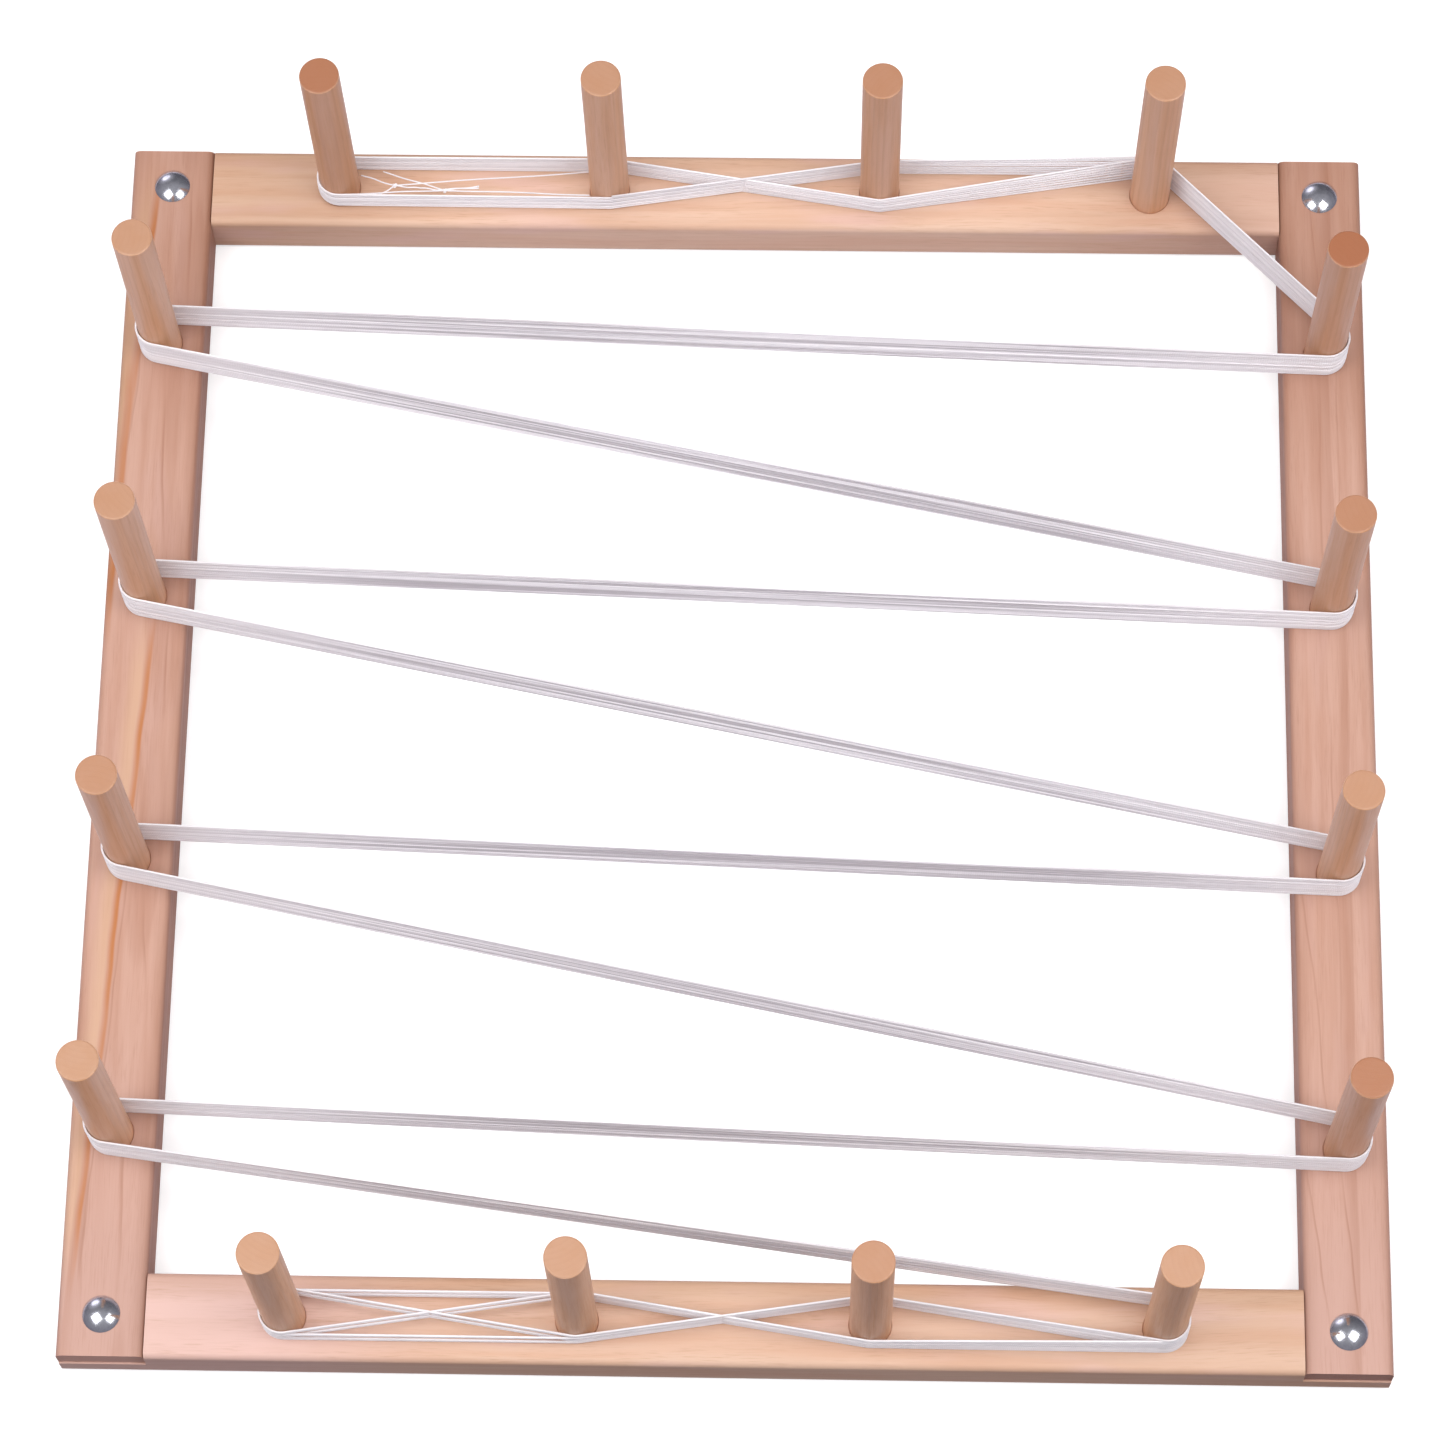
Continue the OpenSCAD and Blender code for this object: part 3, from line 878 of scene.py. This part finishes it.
def makePegs(groups):
    wood = woodMaterial("pegWood", pegWood, pegPosition, (0, 0, 1), groups, reddened="redness")
    for row in ("top", "bottom", "left", "right"):
        for k in range(1, 5):
            node = "peg_%s_%d" % (row, k)
            low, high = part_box(node)
            centre = middleOf(node)
            radius = high.x - centre[0]
            seed = rng.uniform(0, 6.28)
            surface = pegSurface(radius, low.z, high.z, centre, seed)
            peg = placeObject(node + "_dowel", surface)
            places = np.zeros(len(peg.data.vertices) * 3)
            peg.data.vertices.foreach_get("co", places)
            own = (places.reshape(-1, 3) - np.array([*centre[:2], 0])) / mm
            turn = rng.uniform(0, 2 * math.pi)
            across = own[:, 0] * math.cos(turn) - own[:, 1] * math.sin(turn)
            deep = own[:, 0] * math.sin(turn) + own[:, 1] * math.cos(turn)
            start = rng.uniform(0, 4000)
            kept = np.stack([own[:, 2] + start, across, deep], axis=-1)
            store = peg.data.attributes.new("grainPlace", "FLOAT_VECTOR", "POINT")
            store.data.foreach_set("vector", kept.astype(np.float32).ravel())
            red = peg.data.attributes.new("redness", "FLOAT", "POINT")
            red.data.foreach_set("value", np.full(len(own), pegRedness[row][k - 1], np.float32))
            shadeSmooth(peg)
            finishPiece(peg, wood, node, [node])
    print("pegs made")


def threadSurface(place, low, high):
    # Screw thread: the radius rises and falls once for each pitch climbed round the axis
    pitch, depth = boltShape["pitch"] * mm, boltShape["threadDepth"] * mm
    outer, around = boltShape["shank"] / 2 * mm, boltShape["threadAround"]
    rows = int((high - low) / pitch * boltShape["threadRows"])
    a, h = np.meshgrid(roundAngles(around), np.linspace(low, high, rows))
    phase = (h / pitch - a / (2 * math.pi)) % 1
    radius = outer - depth * np.abs(phase * 2 - 1)
    radius[-1] = outer - depth
    points = np.stack([radius * np.cos(a), radius * np.sin(a), h], axis=-1)
    middle = np.array([0, 0, 1])
    points = np.concatenate([points[:1] * middle, points, points[-1:] * middle])
    points = points.reshape(-1, 3) + np.array([*place, 0])
    return points, gridQuads(rows + 2, around, wrapColumns=True), points[:, :2]


def finishMetal(name, surfaces, material, node):
    piece = placeObject(name, joinSurfaces(surfaces))
    shadeSmooth(piece)
    finishPiece(piece, material, "frame", [node])
    print(node, "made")


def makeBolts(material):
    # Cup head: a spherical cap on a thin upright rim, then the square neck, shank and thread
    low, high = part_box("carriage_bolts")
    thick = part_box("end_rail_top")[1].z
    headRadius = high.x - corners()[-1][0]
    rise = high.z - thick
    capRise = rise - boltShape["headRim"] * mm
    dome = (headRadius ** 2 + capRise ** 2) / (2 * capRise)
    reach = math.degrees(math.asin(headRadius / dome))
    cap = rounding((0, rise - dome), dome, 90 - reach, 90, 18)
    easeIn, easeUp = (e * mm for e in boltShape["headEase"])
    head = np.concatenate([[(0, 0), (headRadius - easeIn, 0), (headRadius, easeUp)], cap])
    half = boltShape["shank"] / 2 * mm
    neckLow = thick - boltShape["neckHeight"] * mm
    threadTop = low.z + boltShape["threadLength"] * mm
    shank = [(0, threadTop), (half, threadTop), (half, neckLow), (0, neckLow)]
    surfaces = []
    for place in corners():
        surfaces += [turned(head, (*place, thick), 72), squarePost(place, half, neckLow, thick),
                     turned(shank, (*place, 0), 32), threadSurface(place, low.z, threadTop)]
    finishMetal("cupHeadBolts", surfaces, material, "carriage_bolts")


# In millimetres: edge is the washer's rounding, bore its hole's radius
washerShape = {"edge": 0.2, "bore": 4.2, "around": 64}
# chamfer is in degrees, and face is the width of the round face as a share of the flats
nutShape = {
    "chamfer": 30, "chamferRise": 1.2, "face": 0.985, "bore": 4.06, "boreEase": 0.3, "around": 96,
}


def makeWashers(material):
    low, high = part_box("washers")
    outer = high.x - corners()[-1][0]
    edge, bore, around = washerShape["edge"] * mm, washerShape["bore"] * mm, washerShape["around"]
    ring = np.concatenate([
        rounding((outer - edge, low.z + edge), edge, -90, 0, 3),
        rounding((outer - edge, high.z - edge), edge, 0, 90, 3),
        rounding((bore + edge, high.z - edge), edge, 90, 180, 3),
        rounding((bore + edge, low.z + edge), edge, 180, 270, 3),
    ])
    quads = gridQuads(len(ring), around, wrapRows=True, wrapColumns=True)
    rings = [turned(ring, (*place, 0), around) for place in corners()]
    finishMetal("plainWashers", [(r[0], quads, r[2]) for r in rings], material, "washers")


def nutSurface(place, flats, low, high):
    # Hexagon whose corners are turned down by a cone at both faces, with a round bore:
    # radius = the smaller of the hexagon's and the cone's at each angle and height
    around, bore = nutShape["around"], nutShape["bore"] * mm
    rise, ease = nutShape["chamferRise"] * mm, nutShape["boreEase"] * mm
    angle, sixth = roundAngles(around), math.pi / 3
    hexagon = flats / 2 / np.cos((angle + sixth / 2) % sixth - sixth / 2)
    height = np.concatenate([np.linspace(low, low + rise, 7), np.linspace(high - rise, high, 7)])
    depth = np.minimum(height - low, high - height)
    cone = flats / 2 * nutShape["face"] + depth / math.tan(math.radians(nutShape["chamfer"]))
    inner, rim = np.full((1, around), bore), np.full((1, around), bore + ease)
    rows = np.concatenate([rim, np.minimum(hexagon[None, :], cone[:, None]), rim, inner, inner])
    levels = np.concatenate([[low], height, [high, high - ease, low + ease]])
    points = asPoints(rows * np.cos(angle), rows * np.sin(angle), levels[:, None], place)
    return points, gridQuads(len(levels), around, wrapRows=True, wrapColumns=True), points[:, :2]


def makeNuts(material):
    low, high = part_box("hex_nuts")
    flats = 2 * (high.y - corners()[-1][1])
    nuts = [nutSurface(place, flats, low.z, high.z) for place in corners()]
    finishMetal("hexNuts", nuts, material, "hex_nuts")


# Warp: loops is the number of times round, and the pitches are the steps between yarns that
# lie on each other, in millimetres. sway is how far a yarn strays between the pegs, in full
# over runs of fullRun or more, and strayOut how far out a turn may lie at a peg
warpShape = {
    "yarn": 1.24, "gap": 0.1, "loops": 8, "fullPitch": 1.62, "halfPitch": 2.1, "sides": 8,
    "spacing": 22.0, "arcStep": 8.0, "swayAcross": 0.27, "swayUp": 0.2, "lift": 0.5,
    "fullRun": 600, "strayOut": 0.35,
}


def loopStops():
    # Pegs passed on the way out and back, with 1 where the yarn bends left and -1 right.
    # The last number says how many yarns share the height: 2 where both halves lie together
    out = [("top", 1, -1, 1), ("top", 2, -1, 1), ("top", 3, 1, 1), ("top", 4, -1, 2)]
    for k in range(1, 5):
        out += [("right", k, -1, 2), ("left", k, 1, 2)]
    out += [("bottom", 4, -1, 2), ("bottom", 3, -1, 1), ("bottom", 2, 1, 1)]
    back = [("bottom", 2, 1, 1), ("bottom", 3, -1, 1), ("bottom", 4, 1, 2)]
    for k in (4, 3, 2, 1):
        back += [("left", k, -1, 2), ("right", k, 1, 2)]
    back += [("top", 4, 1, 2), ("top", 3, 1, 1), ("top", 2, -1, 1)]
    return out, back


def warpStops():
    # Every stop of the whole yarn: centre, bend and height
    out, back = loopStops()
    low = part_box("end_rail_top")[1].z / mm + warpShape["lift"] + warpShape["yarn"] / 2
    stops = []
    for loop in range(warpShape["loops"]):
        # Two loops go round the last peg one way, and the next two the other way
        last = [("bottom", 1, 1 if loop % 4 < 2 else -1, 1)]
        for leg, way in ((out, 0), (last, 0), (back, 1)):
            for row, k, bend, share in leg:
                if share == 2:
                    height = low + (2 * loop + way) * warpShape["fullPitch"]
                else:
                    height = low + (loop + way / 2) * warpShape["halfPitch"]
                stops.append((middleOf("peg_%s_%d" % (row, k))[:2] / mm, bend, height))
    return stops


def warpPath():
    # Straight runs touch each peg's circle on the side the yarn bends round, and arcs join
    # them. A run's heading h leaves centre a at a + reach * bend * (sin h, -cos h)
    stops = warpStops()
    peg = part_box("peg_top_1")
    radius = (peg[1].x - peg[0].x) / 2 / mm
    centres = np.array([s[0] for s in stops])
    bends = np.array([s[1] for s in stops], float)
    heights = np.array([s[2] for s in stops])
    stray = rng.uniform(0, warpShape["strayOut"], len(stops))
    signed = bends * (radius + warpShape["gap"] + warpShape["yarn"] / 2 + stray)
    span = centres[1:] - centres[:-1]
    far = np.hypot(span[:, 0], span[:, 1])
    heading = np.arctan2(span[:, 1], span[:, 0]) - np.arcsin((signed[1:] - signed[:-1]) / far)
    aside = np.stack([np.sin(heading), -np.cos(heading)], 1)
    leave = centres[:-1] + signed[:-1, None] * aside
    arrive = centres[1:] + signed[1:, None] * aside
    pieces = []
    for k in range(len(heading)):
        if k > 0:
            sweep = ((heading[k] - heading[k - 1]) * bends[k]) % (2 * math.pi)
            steps = max(2, int(math.degrees(sweep) / warpShape["arcStep"]) + 1)
            turn = heading[k - 1] + bends[k] * np.linspace(0, sweep, steps + 1)[1:-1]
            ring = centres[k] + signed[k] * np.stack([np.sin(turn), -np.cos(turn)], 1)
            pieces.append(np.column_stack([ring, np.full(len(ring), heights[k])]))
        length = np.hypot(*(arrive[k] - leave[k]))
        t = np.linspace(0, 1, max(3, int(length / warpShape["spacing"])))[:, None]
        run = leave[k] + (arrive[k] - leave[k]) * t
        rise = heights[k] + (heights[k + 1] - heights[k]) * t
        # Slow waves that die out at both ends keep the yarns from lying dead straight
        swell = np.sin(math.pi * t) ** 0.5 * min(1.0, (length / warpShape["fullRun"]) ** 2)
        wave = np.sin(t * rng.uniform(2, 5) + rng.uniform(0, 6)) * swell
        lift = np.sin(t * rng.uniform(2, 6) + rng.uniform(0, 6)) * swell
        side = np.array([-math.sin(heading[k]), math.cos(heading[k])])
        run = run + side * wave * warpShape["swayAcross"]
        pieces.append(np.column_stack([run, rise + lift * warpShape["swayUp"]]))
    return np.concatenate(pieces)


def tubeSurface(path, radius, sides):
    # A ring of sides points at each point of the path, across its direction. Both ends close
    ahead = np.gradient(path, axis=0)
    ahead /= np.linalg.norm(ahead, axis=1, keepdims=True)
    up = np.array([0.0, 0.0, 1.0])
    right = np.cross(ahead, up)
    right /= np.linalg.norm(right, axis=1, keepdims=True) + 1e-9
    over = np.cross(right, ahead)
    angle = roundAngles(sides)
    ring = (np.cos(angle)[None, :, None] * right[:, None, :]
            + np.sin(angle)[None, :, None] * over[:, None, :])
    points = path[:, None, :] + ring * radius
    points = np.concatenate([path[:1, None, :] + ring[:1] * 0, points,
                             path[-1:, None, :] + ring[-1:] * 0])
    step = np.linalg.norm(np.diff(path, axis=0), axis=1)
    along = np.concatenate([[0, 0], np.cumsum(step), [step.sum()]])
    u, v = np.meshgrid(angle / (2 * math.pi), along)
    maps = np.stack([u, v], axis=-1).reshape(-1, 2)
    quads = gridQuads(len(path) + 2, sides, wrapColumns=True)
    return points.reshape(-1, 3) * mm, quads, maps


def makeWarp(material):
    path = warpPath()
    print("warp yarn: %.1f m" % (np.linalg.norm(np.diff(path, axis=0), axis=1).sum() * mm))
    warp = placeObject("woundWarp", tubeSurface(path, warpShape["yarn"] / 2, warpShape["sides"]))
    warp.data.shade_smooth()
    finishPiece(warp, material, "frame", ["warp_yarn"])
    print("warp made")


# Tie: points are steps from the first top peg's centre and heights above the rail. A run bows
# to both sides, and layer is the step up from each run to the next, in millimetres
tieShape = {
    "yarn": 0.85, "knot": 1.2, "sides": 8, "bow": 0.4, "layer": 0.06, "tailWave": 0.5,
    "tailShifts": (0.0, 0.9),
    "knotA": (32.5, -2.5, 9.0), "knotB": (62.0, -6.0, 10.0), "tail": (82.0, -4.5, 11.5),
    "runs": [
        ((12.2, 5.0, 7.0), "knotA"), ((22.0, -8.5, 7.0), "knotA"), ("knotA", (48.0, -4.0, 9.0)),
        ((25.0, 8.0, 6.0), "knotB"), ((4.0, -12.0, 16.0), "knotB"), ("knotB", (147.0, -11.6, 17.0)),
        ("knotA", (152.0, 10.0, 5.0)), ((48.0, -4.0, 9.0), "knotB"),
    ],
}


def knotPath(centre, size, seed):
    # Overhand knot: a trefoil, a curve that winds twice round while it waves three times
    t = np.linspace(0, 2 * math.pi, 60)[:-2]
    x = np.sin(t) + 2 * np.sin(2 * t)
    y = np.cos(t) - 2 * np.cos(2 * t)
    z = -np.sin(3 * t)
    turn = np.array([math.cos(seed), math.sin(seed)])
    flat = np.stack([x * turn[0] - y * turn[1], x * turn[1] + y * turn[0], z * 1.1], axis=-1)
    return np.array(centre) + flat * size / 3


def makeTie(material):
    base = np.array([*middleOf("peg_top_1")[:2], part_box("end_rail_top")[1].z]) / mm
    knots = {k: np.array(tieShape[k]) + base for k in ("knotA", "knotB")}
    paths = []
    for k, (start, end) in enumerate(tieShape["runs"]):
        a = knots[start] if isinstance(start, str) else np.array(start) + base
        b = knots[end] if isinstance(end, str) else np.array(end) + base
        t = np.linspace(0, 1, 14)[:, None]
        path = a + (b - a) * t
        bow = np.sin(t * math.pi * 2 + k) * tieShape["bow"] * np.sin(t * math.pi)
        path[:, 1] += bow[:, 0]
        path[:, 2] += tieShape["layer"] * (k - 4)     # keeps the ends apart inside a knot
        paths.append(path)
    t = np.linspace(0, 1, 12)[:, None]
    for shift in tieShape["tailShifts"]:
        tail = knots["knotB"] + (np.array(tieShape["tail"]) + base - knots["knotB"]) * t
        tail[:, 1] += shift * t[:, 0] + tieShape["tailWave"] * np.sin(t[:, 0] * 5 + shift)
        tail[:, 2] += 0.2 + shift * 0.2
        paths.append(tail)
    paths += [knotPath(knot, tieShape["knot"], k * 2.0) for k, knot in enumerate(knots.values())]
    tubes = [tubeSurface(path, tieShape["yarn"] / 2, tieShape["sides"]) for path in paths]
    tie = placeObject("tieYarn", joinSurfaces(tubes))
    tie.data.shade_smooth()
    finishPiece(tie, material, "frame", ["tie_yarn"])
    print("tie made")


makeCamera()
makeLights()
makeSky()
makeFloor()
groups = {
    "woodGrain": woodGrainGroup(), "growthLine": growthLineGroup(), "cutEnd": cutEndGroup(),
    "yarnTwist": yarnTwistGroup(),
}
metal = metalMaterial()
yarn = yarnMaterial(groups)
makeRails(groups)
makePegs(groups)
makeBolts(metal)
makeWashers(metal)
makeNuts(metal)
makeWarp(yarn)
makeTie(yarn)
